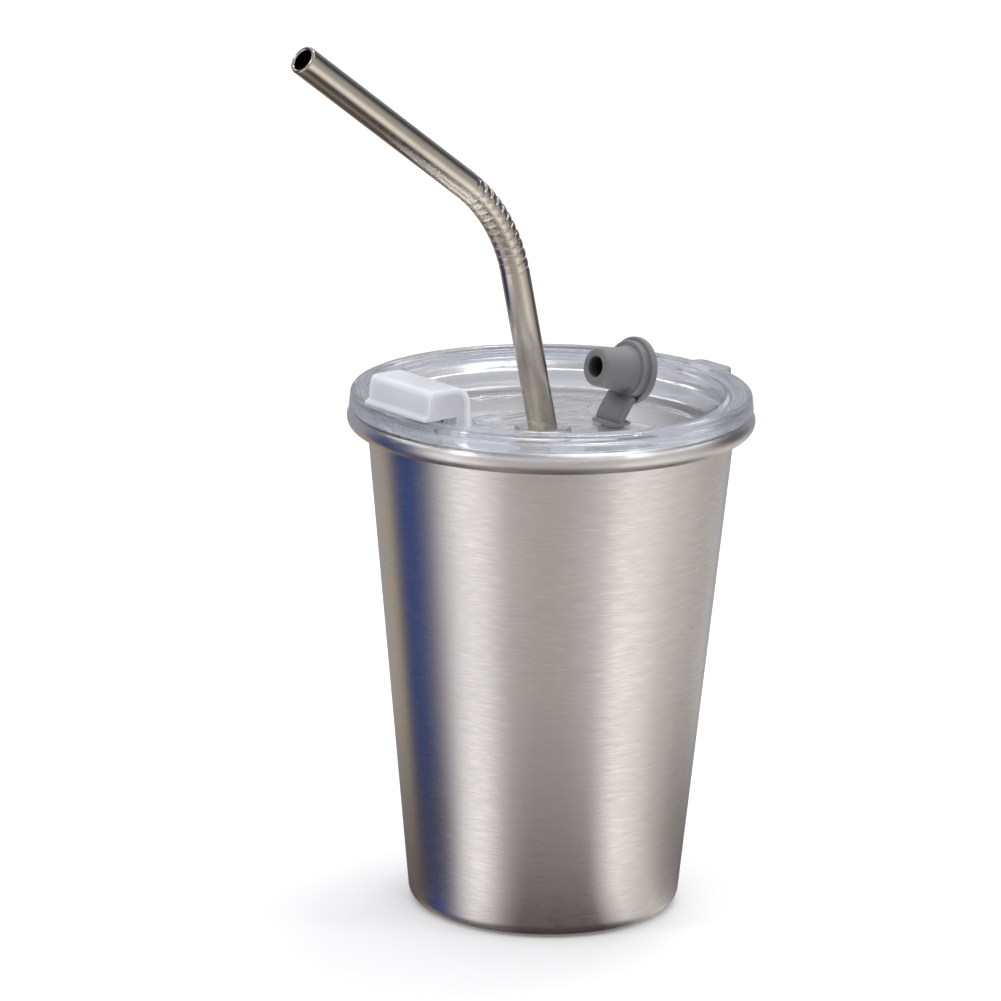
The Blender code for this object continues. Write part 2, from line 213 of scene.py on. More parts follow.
def rectangle(width, depth, corner, centre=(0.0, 0.0), steps=6):
    """A rectangle with round corners, as a closed outline."""
    w, d = width / 2, depth / 2
    x, y = centre
    corners = [(x + w, y + d, corner), (x - w, y + d, corner), (x - w, y - d, corner), (x + w, y - d, corner)]
    return rounded(corners, steps)


def piece(tool, name, sharp=40):
    """Turns a bmesh in millimetres into a smooth-shaded object in metres."""
    bmesh.ops.remove_doubles(tool, verts=tool.verts, dist=1e-4)
    bmesh.ops.scale(tool, verts=tool.verts, vec=(MM, MM, MM))
    bmesh.ops.recalc_face_normals(tool, faces=tool.faces)
    mesh = bpy.data.meshes.new(name)
    tool.to_mesh(mesh)
    tool.free()
    mesh.shade_smooth()
    mesh.set_sharp_from_angle(angle=math.radians(sharp))
    made = bpy.data.objects.new(name, mesh)
    bpy.context.collection.objects.link(made)
    return made


def turned(outline, segments=FINE, x=0.0):
    """A bmesh of a closed (radius, height) outline turned about the vertical line through x."""
    tool = bmesh.new()
    rings = []
    for radius, height in outline:
        if radius < 1e-6:
            rings.append([tool.verts.new((x, 0, height))])
            continue
        turns = [2 * math.pi * i / segments for i in range(segments)]
        circle = [(x + radius * math.cos(a), radius * math.sin(a), height) for a in turns]
        rings.append([tool.verts.new(point) for point in circle])
    for here, there in zip(rings, rings[1:] + rings[:1]):
        if len(here) == 1 and len(there) == 1:
            continue
        for i in range(segments):
            j = (i + 1) % segments
            corners = [here[i % len(here)], here[j % len(here)], there[j % len(there)], there[i % len(there)]]
            tool.faces.new(list(dict.fromkeys(corners)))
    return tool


def prism(outline, low, high, axis="Z"):
    """A bmesh of a closed outline extruded from low to high: (x, y) along Z, or (x, z) along Y."""
    tool = bmesh.new()
    placed = [(a, b, low) if axis == "Z" else (a, low, b) for a, b in outline]
    face = tool.faces.new([tool.verts.new(point) for point in placed])
    grown = bmesh.ops.extrude_face_region(tool, geom=[face])
    step = (0, 0, high - low) if axis == "Z" else (0, high - low, 0)
    moved = [v for v in grown["geom"] if isinstance(v, bmesh.types.BMVert)]
    bmesh.ops.translate(tool, verts=moved, vec=step)
    bmesh.ops.recalc_face_normals(tool, faces=tool.faces)
    return tool


def soften(tool, offset, segments=3, keep=None):
    """Rounds a bmesh's edges that turn by more than 35 degrees and that keep(edge) accepts."""
    sharp = [e for e in tool.edges if len(e.link_faces) == 2 and e.calc_face_angle(0) > math.radians(35)]
    chosen = [e for e in sharp if keep is None or keep(e)]
    bmesh.ops.bevel(
        tool, geom=chosen, offset=offset, segments=segments, profile=0.5, affect="EDGES", clamp_overlap=True
    )
    return tool


def combine(target, other, operation):
    """Joins another shape to the target, or cuts it away, and removes the other shape."""
    step = target.modifiers.new(other.name, "BOOLEAN")
    step.operation = operation
    step.object = other
    step.solver = "EXACT"
    evaluated = target.evaluated_get(bpy.context.evaluated_depsgraph_get())
    mesh = bpy.data.meshes.new_from_object(evaluated)
    target.modifiers.clear()
    target.data = mesh
    bpy.data.objects.remove(other)


def crease(target, angle):
    """Shades a joined piece smooth, with its edges sharper than the angle kept crisp."""
    target.data.shade_smooth()
    target.data.set_sharp_from_angle(angle=math.radians(angle))


def settle(made, material, body, nodes=()):
    """Gives a piece its material, ties it to its body, and hides the frame's nodes that it stands for."""
    made.data.materials.clear()
    made.data.materials.append(material)
    if body:
        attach(made, body)
    if nodes:
        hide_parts(*nodes)


# ---------------------------------------------------------------- material tools


def new_material(name):
    made = bpy.data.materials.new(name)
    made.use_nodes = True
    return made, made.node_tree, made.node_tree.nodes["Principled BSDF"]


def node(tree, kind, values=None, links=None, **settings):
    """A new node with its settings, its inputs' values, and the sockets linked into its inputs."""
    made = tree.nodes.new("ShaderNode" + kind)
    for key, value in settings.items():
        setattr(made, key, value)
    for key, value in (values or {}).items():
        made.inputs[key].default_value = value
    for key, socket in (links or {}).items():
        tree.links.new(socket, made.inputs[key])
    return made


def grain(tree, scale, detail=4.0, roughness=0.55):
    """A noise stretched by a scale along each of the object's axes."""
    place = node(tree, "TexCoord")
    stretched = node(tree, "Mapping", {"Scale": scale}, {"Vector": place.outputs["Object"]})
    values = {"Scale": 1.0, "Detail": detail, "Roughness": roughness}
    return node(tree, "TexNoise", values, {"Vector": stretched.outputs["Vector"]}).outputs["Fac"]


def spread(tree, socket, low, high, from_low=0.3, from_high=0.7):
    """The socket's value moved into the range from low to high."""
    values = {"From Min": from_low, "From Max": from_high, "To Min": low, "To Max": high}
    return node(tree, "MapRange", values, {"Value": socket}).outputs["Result"]


def tint(tree, socket, stops):
    """A colour ramp over the socket's value, from (position, colour) stops."""
    made = node(tree, "ValToRGB", links={"Fac": socket})
    ramp = made.color_ramp
    while len(ramp.elements) < len(stops):
        ramp.elements.new(0.5)
    for element, (position, colour) in zip(ramp.elements, stops):
        element.position = position
        element.color = (*colour, 1)
    return made.outputs["Color"]


def turn_share(tree, vector):
    """How far round the vertical a vector points, from 0 to 1 over the full turn, and its three parts."""
    parts = node(tree, "SeparateXYZ", links={"Vector": vector}).outputs
    angle = node(tree, "Math", links={0: parts["Y"], 1: parts["X"]}, operation="ARCTAN2").outputs[0]
    return spread(tree, angle, 0, 1, -math.pi, math.pi), parts


def bump(tree, height, distance, strength=1.0, below=None):
    links = {"Height": height}
    if below:
        links["Normal"] = below
    return node(tree, "Bump", {"Strength": strength, "Distance": distance}, links).outputs["Normal"]


def fill(tree, shader, values=None, links=None):
    for key, value in (values or {}).items():
        shader.inputs[key].default_value = value
    for key, socket in (links or {}).items():
        tree.links.new(socket, shader.inputs[key])


def brushed_steel():
    """Sheet steel brushed round the cup: fine rings of grain, and highlights drawn out up and down."""
    made, tree, shader = new_material("brushed_steel")
    fine = grain(tree, (260, 260, 3600), detail=3)
    streaks = grain(tree, (90, 90, 1900), detail=5, roughness=0.7)
    cloud = grain(tree, (30, 30, 18), detail=3)
    colour = tint(tree, streaks, [(0.25, (0.615, 0.600, 0.582)), (0.75, (0.68, 0.664, 0.645))])
    uneven = {0: spread(tree, fine, 0.25, 0.37), 1: spread(tree, cloud, -0.02, 0.03)}
    roughness = node(tree, "Math", links=uneven)
    relief = bump(tree, fine, 0.000008, 0.6)
    relief = bump(tree, streaks, 0.00001, 0.28, relief)
    tangent = node(tree, "Tangent", direction_type="RADIAL", axis="Z")
    fill(
        tree,
        shader,
        {"Metallic": 1.0, "Anisotropic": 0.82, "Anisotropic Rotation": 0.25},
        {
            "Base Color": colour,
            "Roughness": roughness.outputs[0],
            "Normal": relief,
            "Tangent": tangent.outputs[0],
        },
    )
    return made


def straw_steel():
    """Drawn steel tube: polished, with faint scratches and warm stains."""
    made, tree, shader = new_material("straw_steel")
    stains = grain(tree, (60, 60, 25), detail=4)
    scratches = grain(tree, (900, 900, 60), detail=4)
    colour = tint(tree, stains, [(0.3, (0.41, 0.375, 0.32)), (0.7, (0.52, 0.48, 0.425))])
    roughness = spread(tree, scratches, 0.13, 0.24)
    fill(
        tree,
        shader,
        {"Metallic": 1.0},
        {"Base Color": colour, "Roughness": roughness, "Normal": bump(tree, scratches, 0.000012, 0.4)},
    )
    return made


def clear_plastic():
    """Clear moulded lid: polished, with the faint waviness and haze of an injection moulding."""
    made, tree, shader = new_material("clear_plastic")
    flow = grain(tree, (45, 45, 60), detail=1)
    haze = grain(tree, (240, 240, 240), detail=5)
    colour = tint(tree, haze, [(0.3, (0.935, 0.945, 0.97)), (0.7, (0.96, 0.97, 0.985))])
    roughness = spread(tree, haze, 0.004, 0.03)
    relief = bump(tree, flow, 0.0004, 0.05)
    fill(
        tree,
        shader,
        {"Transmission Weight": 0.93, "IOR": 1.5, "Specular IOR Level": 0.5},
        {"Base Color": colour, "Roughness": roughness, "Normal": relief},
    )
    return made


def frosted_plastic():
    """Milky translucent hood with a fine moulded matt texture."""
    made, tree, shader = new_material("frosted_plastic")
    cloud = grain(tree, (90, 90, 90), detail=3)
    texture = grain(tree, (2600, 2600, 2600), detail=2)
    colour = tint(tree, cloud, [(0.3, (0.60, 0.605, 0.655)), (0.7, (0.65, 0.655, 0.70))])
    depth = {"Subsurface Weight": 1.0, "Subsurface Radius": (1.0, 1.0, 1.1), "Subsurface Scale": 0.004}
    roughness = spread(tree, texture, 0.3, 0.42)
    relief = bump(tree, texture, 0.00002, 0.3)
    links = {"Base Color": colour, "Roughness": roughness, "Normal": relief}
    fill(tree, shader, {"IOR": 1.46, **depth}, links)
    return made


def clear_silicone():
    """Translucent silicone of the two seals."""
    made, tree, shader = new_material("clear_silicone")
    cloud = grain(tree, (120, 120, 120), detail=3)
    colour = tint(tree, cloud, [(0.3, (0.86, 0.87, 0.89)), (0.7, (0.92, 0.93, 0.95))])
    roughness = spread(tree, cloud, 0.28, 0.4)
    relief = bump(tree, cloud, 0.00003, 0.3)
    values = {"Transmission Weight": 0.8, "IOR": 1.41}
    fill(tree, shader, values, {"Base Color": colour, "Roughness": roughness, "Normal": relief})
    return made


def grey_silicone():
    """Dark grey moulded silicone: matt, with a fine spark-eroded texture and a soft sheen, and painted shade
    in its bore and crevices.
    """
    made, tree, shader = new_material("grey_silicone")
    texture = grain(tree, (1900, 1900, 1900), detail=3)
    cloud = grain(tree, (160, 160, 160), detail=4)
    colour = tint(tree, cloud, [(0.3, (0.17, 0.169, 0.176)), (0.7, (0.208, 0.206, 0.214))])
    # Painted shade: the colour goes to near black where ambient occlusion finds the bore and the crevices
    # between the discs.
    hollow = node(tree, "AmbientOcclusion", {"Distance": 0.006}, samples=8).outputs["AO"]
    open_share = spread(tree, hollow, 0, 1, 0.3, 0.75)
    shaded = node(tree, "MixRGB", {"Color1": (0.006, 0.006, 0.007, 1)}, {"Fac": open_share, "Color2": colour})
    relief = bump(tree, texture, 0.00003, 0.45)
    fill(
        tree,
        shader,
        {"Specular IOR Level": 0.45, "Sheen Weight": 0.25, "Sheen Roughness": 0.4, "IOR": 1.43},
        {"Base Color": shaded.outputs[0], "Roughness": spread(tree, texture, 0.42, 0.58), "Normal": relief},
    )
    return made


# ---------------------------------------------------------------- cup


def cone_radius(height):
    """The cup's outer radius at a height."""
    top = CURL_RING - CURL_RADIUS + SHEET
    return FOOT_RADIUS + (top - FOOT_RADIUS) * height / RIM_HEIGHT


def build_cup(steel):
    """The drawn cup: flat foot, cone wall and the sheet rolled outward at the rim."""
    slope = math.degrees(math.atan2(cone_radius(RIM_HEIGHT) - FOOT_RADIUS, RIM_HEIGHT))
    centre = (cone_radius(FOOT_FILLET) - FOOT_FILLET / math.cos(math.radians(slope)), FOOT_FILLET)
    curl = (CURL_RING, RIM_HEIGHT)
    outline = [(0, 0)] + arc(centre, FOOT_FILLET, -90, -slope, 12)
    outline += [(cone_radius(h), h) for h in range(12, 109, 12)]
    outline += arc(curl, CURL_RADIUS - SHEET, 180, CURL_END_DEG, 28)
    outline += arc(curl, CURL_RADIUS, CURL_END_DEG, 180, 30)
    outline += [(cone_radius(h) - SHEET, h) for h in range(108, 11, -12)]
    outline += arc(centre, FOOT_FILLET - SHEET, -slope, -90, 12) + [(0, SHEET)]
    cup = piece(turned(outline), "steel_cup")
    settle(cup, steel, "cup", ["cup_body"])


# ---------------------------------------------------------------- lid


def lid_outline():
    """The lid's section, with its moulded rounds: floor, recess wall, ledge, rim, skirt, rib and groove."""
    seat = CUP_HIGH.z + GAP
    under = LEDGE_TOP - 1.5
    groove = RECESS_FOOT_RADIUS + LID_WALL
    corners = [
        (RECESS_FOOT_RADIUS, FLOOR_TOP, 1.5),
        (RECESS_TOP_RADIUS, LEDGE_TOP, 0.7),
        (40.6, LEDGE_TOP, 0.5),
        (41.3, LID_TOP, 0.4),
        (FLANGE_RADIUS, LID_TOP, 1.2),
        (SKIRT_RADIUS, SKIRT_FOOT, 0.25),
        (SKIRT_RADIUS - 0.7, SKIRT_FOOT, 0.25),
        (43.2, under, 0.15),
        (43.0, under, 0.0),
        (42.8, seat, 0.2),
        (42.1, seat, 0.2),
        (41.9, under, 0.2),
        (39.5, under, 0.4),
        (39.4, GROOVE_HIGH, 0.2),
        (groove, GROOVE_HIGH, 0.2),
        (groove, GROOVE_LOW, 0.2),
        (39.2, GROOVE_LOW, 0.2),
        (39.0, FLOOR_TOP - FLOOR_THICK, 0.6),
        (0, FLOOR_TOP - FLOOR_THICK, 0),
        (0, FLOOR_TOP, 0),
    ]
    return rounded(corners, 5)


def floor_rails():
    """The low rails moulded on the lid's floor: a rounded frame on each side of the middle."""
    rails = []
    for y in (RAIL_Y, -RAIL_Y):
        outer = rectangle(RAIL_LENGTH, RAIL_DEPTH, 2.4, (RAIL_X, y))
        inner = rectangle(RAIL_LENGTH - 2, RAIL_DEPTH - 2, 1.6, (RAIL_X, y))
        rail = piece(prism(outer, FLOOR_TOP - 0.4, FLOOR_TOP + 0.8), "rail")
        combine(rail, piece(prism(inner, FLOOR_TOP - 1, FLOOR_TOP + 2), "rail_cut"), "DIFFERENCE")
        rails.append(rail)
    return rails


def hinge_ear(side):
    """One of the two ears beside the hood, with the bearing hole for its trunnion."""
    inner = HOOD_WIDTH / 2 + GAP
    low, high = sorted((side * inner, side * (inner + EAR_THICK)))
    x, z = HOOD_PIVOT.x, HOOD_PIVOT.z
    root = FLOOR_TOP - 0.5
    outline = [(x - EAR_RADIUS, root)] + arc((x, z), EAR_RADIUS, 180, 0, 20) + [(x + EAR_RADIUS, root)]
    ear = piece(prism(outline, low, high, "Y"), "ear")
    bearing = prism(arc((x, z), BEARING_RADIUS, 0, 352.5, 47), low - 1, high + 1, "Y")
    combine(ear, piece(bearing, "bearing"), "DIFFERENCE")
    return ear


def drill(lid, name, radius, x, segments):
    """Cuts a round hole down through the lid's floor."""
    top = 112.0
    outline = [(0, CUT_LOW), (radius, CUT_LOW), (radius, top), (0, top)]
    combine(lid, piece(turned(outline, segments, x), name), "DIFFERENCE")


def build_lid(plastic):
    """The lid, with its lift tab, spout, straw boss, rails and hinge ears moulded on, then its holes."""
    lid = piece(turned(lid_outline()), "clear_lid")
    middle = ((LID_HIGH.x + TAB_ROOT_X) / 2, 0)
    tab = prism(rectangle(LID_HIGH.x - TAB_ROOT_X, TAB_WIDTH, 2.5, middle), TAB_LOW, TAB_HIGH)
    combine(lid, piece(soften(tab, 0.35), "tab"), "UNION")
    spout = prism(rectangle(SPOUT_DEPTH, SPOUT_WIDTH, 2.1, (SPOUT_X, 0), 8), FLOOR_TOP - 0.6, SPOUT_TOP)
    soften(spout, 0.4, keep=lambda e: min(v.co.z for v in e.verts) > LID_TOP)
    combine(lid, piece(spout, "spout"), "UNION")
    shoulder = (BOSS_RADIUS - BOSS_ROUND, BOSS_TOP - BOSS_ROUND)
    boss = [(0, FLOOR_TOP - 0.5), (BOSS_RADIUS, FLOOR_TOP - 0.5), (BOSS_RADIUS, shoulder[1])]
    boss += arc(shoulder, BOSS_ROUND, 0, 90, 4) + [(0, BOSS_TOP)]
    combine(lid, piece(turned(boss, 90, STRAW_HOLE_X), "boss"), "UNION")
    for rail in floor_rails():
        combine(lid, rail, "UNION")
    for side in (1, -1):
        combine(lid, hinge_ear(side), "UNION")
    drill(lid, "hole", STRAW_HOLE_RADIUS, STRAW_HOLE_X, 88)
    slot = prism(rectangle(SLOT_DEPTH, SLOT_WIDTH, 0.85, (SPOUT_X, 0)), CUT_LOW, CUT_HIGH)
    combine(lid, piece(slot, "slot"), "DIFFERENCE")
    drill(lid, "anchor_hole", ANCHOR_HOLE_RADIUS, ANCHOR_X, 32)
    crease(lid, 32)
    lid.visible_shadow = False
    settle(lid, plastic, "lid_assembly", ["lid"])


def build_seal_ring(silicone):
    """The gasket in the lid's groove, with two rounded wiping lips."""
    inner = RECESS_FOOT_RADIUS + LID_WALL + GAP
    low, high = RING_LOW.z, RING_HIGH.z
    corners = [
        (inner, low, 0.2),
        (39.2, low, 0.15),
        (39.55, low + 0.5, 0.2),
        (39.2, low + 1.1, 0.3),
        (39.2, high - 1.1, 0.3),
        (39.65, high - 0.5, 0.2),
        (39.2, high, 0.15),
        (inner, high, 0.2),
    ]
    ring = piece(turned(rounded(corners, 4)), "seal_ring")
    ring.visible_shadow = False
    settle(ring, silicone, "lid_assembly", ["lid_seal_ring"])


# ---------------------------------------------------------------- hood


def build_hood(frosted):
    """The flip-up hood: rounded roof and sides, a thumb lip at its outer end, and a hollow for the spout."""
    rest = LID_TOP + GAP
    half = HOOD_WIDTH / 2
    lug_foot = HOOD_PIVOT.z - 1.6
    profile = rounded(
        [
            (HOOD_LIP, rest, 0.2),
            (HOOD_LIP, rest + 0.7, 0.3),
            (-42.25, rest + 1.3, 0.6),
            (-41.75, HOOD_TOP, 1.7),
            (HOOD_INNER_END, HOOD_TOP, 3.6),
            (HOOD_INNER_END, lug_foot, 1.59),
            (-34.2, lug_foot, 1.59),
            (-34.2, rest, 0),
        ],
        8,
    )
    shell = prism(profile, -half, half, "Y")

    def upper_outline(edge):
        level = abs(edge.verts[0].co.y - edge.verts[1].co.y) < 1e-6
        return level and min(v.co.z for v in edge.verts) > LID_TOP + 1.2

    soften(shell, 0.9, 5, keep=upper_outline)
    hood = piece(shell, "spout_hood")
    inner_half = half - HOOD_WALL
    back = HOOD_INNER_END - HOOD_WALL
    roof = HOOD_TOP - HOOD_WALL
    wall_foot = HOOD_PIVOT.z + 2.0
    clear = HOOD_INNER_END + 2
    hollow = rounded(
        [
            (-41.2, 104.0, 0),
            (-41.0, roof, 1.0),
            (back, roof, 2.4),
            (back, wall_foot, 0),
            (clear, wall_foot, 0),
            (clear, 104.0, 0),
        ],
        6,
    )
    combine(hood, piece(prism(hollow, -inner_half, inner_half, "Y"), "hollow"), "DIFFERENCE")
    inset = rounded(
        [
            (-39.0, rest + 1.0, 0.3),
            (-38.6, HOOD_TOP - 1.5, 1.0),
            (HOOD_INNER_END - 1.4, HOOD_TOP - 1.5, 2.4),
            (HOOD_INNER_END - 1.4, HOOD_PIVOT.z + 2.6, 0.3),
            (-39.0, HOOD_PIVOT.z + 2.6, 0.3),
        ],
        6,
    )
    for side in (1, -1):
        low, high = sorted((side * (half - 0.25), side * (half + 1.0)))
        combine(hood, piece(prism(inset, low, high, "Y"), "inset"), "DIFFERENCE")
        low, high = sorted((side * (half - 0.6), side * (half + 1.7)))
        pin = prism(arc((HOOD_PIVOT.x, HOOD_PIVOT.z), TRUNNION_RADIUS, 0, 352.5, 47), low, high, "Y")
        combine(hood, piece(pin, "trunnion"), "UNION")
    crease(hood, 40)
    settle(hood, frosted, "hood", ["spout_cap"])


def build_seal_pad(silicone):
    """The soft pad under the hood's roof."""
    width, depth = PAD_HIGH.x - PAD_LOW.x, PAD_HIGH.y - PAD_LOW.y
    centre = ((PAD_HIGH.x + PAD_LOW.x) / 2, 0)
    pad = soften(prism(rectangle(width, depth, 2.4, centre, 8), PAD_LOW.z, PAD_HIGH.z), 0.35)
    settle(piece(pad, "spout_pad"), silicone, "hood", ["spout_seal_pad"])


# ---------------------------------------------------------------- straw


def straw_line():
    """Centreline stations as (point, direction, distance round the bend or None)."""
    tilt_low = math.atan2(STRAW_LOWER.x, -STRAW_LOWER.z)
    crossing = Vector((STRAW_HOLE_X, 0, STRAW_CROSSING))

    def heading(tilt):
        return Vector((-math.sin(tilt), 0, math.cos(tilt)))

    lower, upper = heading(tilt_low), heading(STRAW_UPPER_TILT)
    turn = STRAW_UPPER_TILT - tilt_low
    tangent = STRAW_BEND_RADIUS * math.tan(turn / 2)
    down = (STRAW_CROSSING - SHEET - GAP - STRAW_RADIUS * math.sin(tilt_low)) / math.cos(tilt_low)
    inward = Vector((-math.cos(tilt_low), 0, -math.sin(tilt_low)))
    centre = crossing + lower * (STRAW_CORNER - tangent) + inward * STRAW_BEND_RADIUS
    stations = [(crossing - lower * down, lower, None)]
    straight = 24
    for i in range(1, straight):
        along = -down + (STRAW_CORNER - tangent + down) * i / straight
        stations.append((crossing + lower * along, lower, None))
    steps = 216
    for i in range(steps + 1):
        tilt = tilt_low + turn * i / steps
        out = Vector((math.cos(tilt), 0, math.sin(tilt)))
        stations.append((centre + out * STRAW_BEND_RADIUS, heading(tilt), i / steps))
    corner = crossing + lower * STRAW_CORNER
    for i in range(1, straight + 1):
        along = tangent + (STRAW_UPPER - tangent) * i / straight
        stations.append((corner + upper * along, upper, None))
    return stations


def build_straw(steel):
    """The bent tube, with the former's shallow ribs across the bend and a rolled, polished lip."""
    sides = 72
    side = Vector((0, 1, 0))
    turns = [2 * math.pi * i / sides for i in range(sides)]
    stations = straw_line()
    tool = bmesh.new()

    def ring(point, direction, radius, round_bend=None):
        across = side.cross(direction)
        made = []
        for a in turns:
            reach = radius
            if round_bend is not None:
                fade = min(1.0, 3 * math.sin(math.pi * round_bend))
                outer_side = 0.12 + 0.88 * max(0.0, math.cos(a + 0.45)) ** 1.5
                groove = (0.5 - 0.5 * math.cos(2 * math.pi * RIBS * round_bend)) ** 3
                reach -= RIB_DEPTH * fade * outer_side * groove
            made.append(tool.verts.new(point + (across * math.cos(a) + side * math.sin(a)) * reach))
        return made

    lip = (STRAW_RADIUS - STRAW_BORE) / 2
    middle = STRAW_RADIUS - lip
    loops = [ring(point, direction, STRAW_RADIUS, bend) for point, direction, bend in stations[1:-1]]
    top_point, top_heading, _ = stations[-1]
    for angle in range(0, 201, 20):
        a = math.radians(angle)
        centre = top_point + top_heading * (STRAW_LIP * (math.sin(a) - 1))
        loops.append(ring(centre, top_heading, STRAW_RADIUS - STRAW_LIP + STRAW_LIP * math.cos(a)))
    loops += [ring(point, direction, STRAW_BORE) for point, direction, bend in reversed(stations[1:-1])]
    foot_point, foot_heading, _ = stations[0]
    for angle in range(180, -1, -20):
        a = math.radians(angle)
        centre = foot_point + foot_heading * (lip * (1 - math.sin(a)))
        loops.append(ring(centre, foot_heading, middle + lip * math.cos(a)))
    for here, there in zip(loops, loops[1:] + loops[:1]):
        for i in range(sides):
            j = (i + 1) % sides
            tool.faces.new([here[i], here[j], there[j], there[i]])
    straw = piece(tool, "metal_straw", 60)
    settle(straw, steel, "drinking_straw", ["straw"])


# ---------------------------------------------------------------- plug


def build_plug_head(silicone):
    """The plug's two stepped discs and its hollow tapered stem with a rounded, beaded nose."""
    corners = [
        (0, -0.9, 0),
        (PLUG_DISC, -0.9, 0.6),
        (PLUG_DISC, 0.8, 0.45),
        (6.5, 0.8, 0.25),
        (6.75, 2.5, 0.5),
        (5.5, 2.45, 0.3),
        (5.0, 3.1, 0.5),
        (4.45, PLUG_NOSE - 1.9, 0.8),
        (4.3, PLUG_NOSE, 0.9),
        (PLUG_BORE, PLUG_NOSE, 0.35),
        (PLUG_BORE, 1.0, 0.4),
        (0, 1.0, 0),
    ]
    stand = Matrix.Translation(PLUG_CENTRE) @ Matrix.Rotation(-(math.pi / 2 - PLUG_STEM_RISE), 4, "Y")
    head = turned(rounded(corners, 6), 120)
    bmesh.ops.transform(head, matrix=stand, verts=head.verts)
    settle(piece(head, "plug_head"), silicone, "plug", ["straw_plug"])


def build_strap(silicone):
    """The strap that ties the plug to its anchor, bending between the lid and the plug."""
    x, z = PLUG_PIVOT.x, PLUG_PIVOT.z
    steps = ((-0.35, -1.2), (-0.1, -0.2), (0.7, 1.05), (1.5, 2.2), (2.3, 3.3), (3.0, 4.2))
    route = [(x + a, z + b) for a, b in steps]
    section = rectangle(STRAP_THICK, STRAP_WIDTH, 0.4, steps=5)
    line = [Vector((a, 0, b)) for a, b in smooth(route, 6)]
    tool = bmesh.new()
    loops = []
    for i, point in enumerate(line):
        along = (line[min(i + 1, len(line) - 1)] - line[max(i - 1, 0)]).normalized()
        out = Vector((0, 1, 0)).cross(along)
        loops.append([tool.verts.new(point + out * a + Vector((0, b, 0))) for a, b in section])
    for here, there in zip(loops, loops[1:]):
        for i in range(len(section)):
            j = (i + 1) % len(section)
            tool.faces.new([here[i], here[j], there[j], there[i]])
    tool.faces.new(loops[0])
    tool.faces.new(loops[-1])
    strap = piece(tool, "plug_strap")
    settle(strap, silicone, None, ["straw_plug"])
    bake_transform(strap)


def build_anchor(silicone):
    """The anchor: a pad on the lid's floor, a stem through it and a button beneath."""
    under = FLOOR_TOP - FLOOR_THICK - GAP
    top = ANCHOR_HIGH.z
    corners = [
        (0, under - 1.8, 0),
        (3.1, under - 1.8, 0.6),
        (2.9, under, 0.3),
        (1.3, under, 0.1),
        (1.3, top - 0.3, 0),
        (0, top - 0.3, 0),
    ]
    anchor = piece(turned(rounded(corners, 5), 64, ANCHOR_X), "anchor_button")
    pad = soften(prism(rectangle(5.2, STRAP_WIDTH, 1.2, (ANCHOR_X, 0), 8), FLOOR_TOP + GAP, top), 0.2)
    combine(anchor, piece(pad, "anchor_pad"), "UNION")
    crease(anchor, 40)
    settle(anchor, silicone, "lid_assembly", ["plug_anchor"])


# ---------------------------------------------------------------- studio


def build_camera():
    """The camera, standing round to the hood's side of the lid and looking down on it."""
    level = math.cos(CAMERA_ELEVATION)
    toward = Vector(
        (level * math.cos(CAMERA_BEARING), level * math.sin(CAMERA_BEARING), math.sin(CAMERA_ELEVATION))
    )
    forward = -toward
    right = Vector((-math.sin(CAMERA_BEARING), math.cos(CAMERA_BEARING), 0))
    up = right.cross(forward)
    turned_right = math.cos(CAMERA_ROLL) * right + math.sin(CAMERA_ROLL) * up
    turned_up = -math.sin(CAMERA_ROLL) * right + math.cos(CAMERA_ROLL) * up
    axis = (forward + CAMERA_AIM[0] * turned_right + CAMERA_AIM[1] * turned_up).normalized()
    side = (turned_right - axis * turned_right.dot(axis)).normalized()
    data = bpy.data.cameras.new("camera")
    data.lens = CAMERA_LENS
    data.sensor_width = 36
    camera = bpy.data.objects.new("camera", data)
    bpy.context.collection.objects.link(camera)
    turn = Matrix((side, side.cross(axis), -axis)).transposed()
    camera.matrix_world = Matrix.Translation(CAMERA_TARGET + toward * CAMERA_DISTANCE) @ turn.to_4x4()
    bpy.context.scene.camera = camera


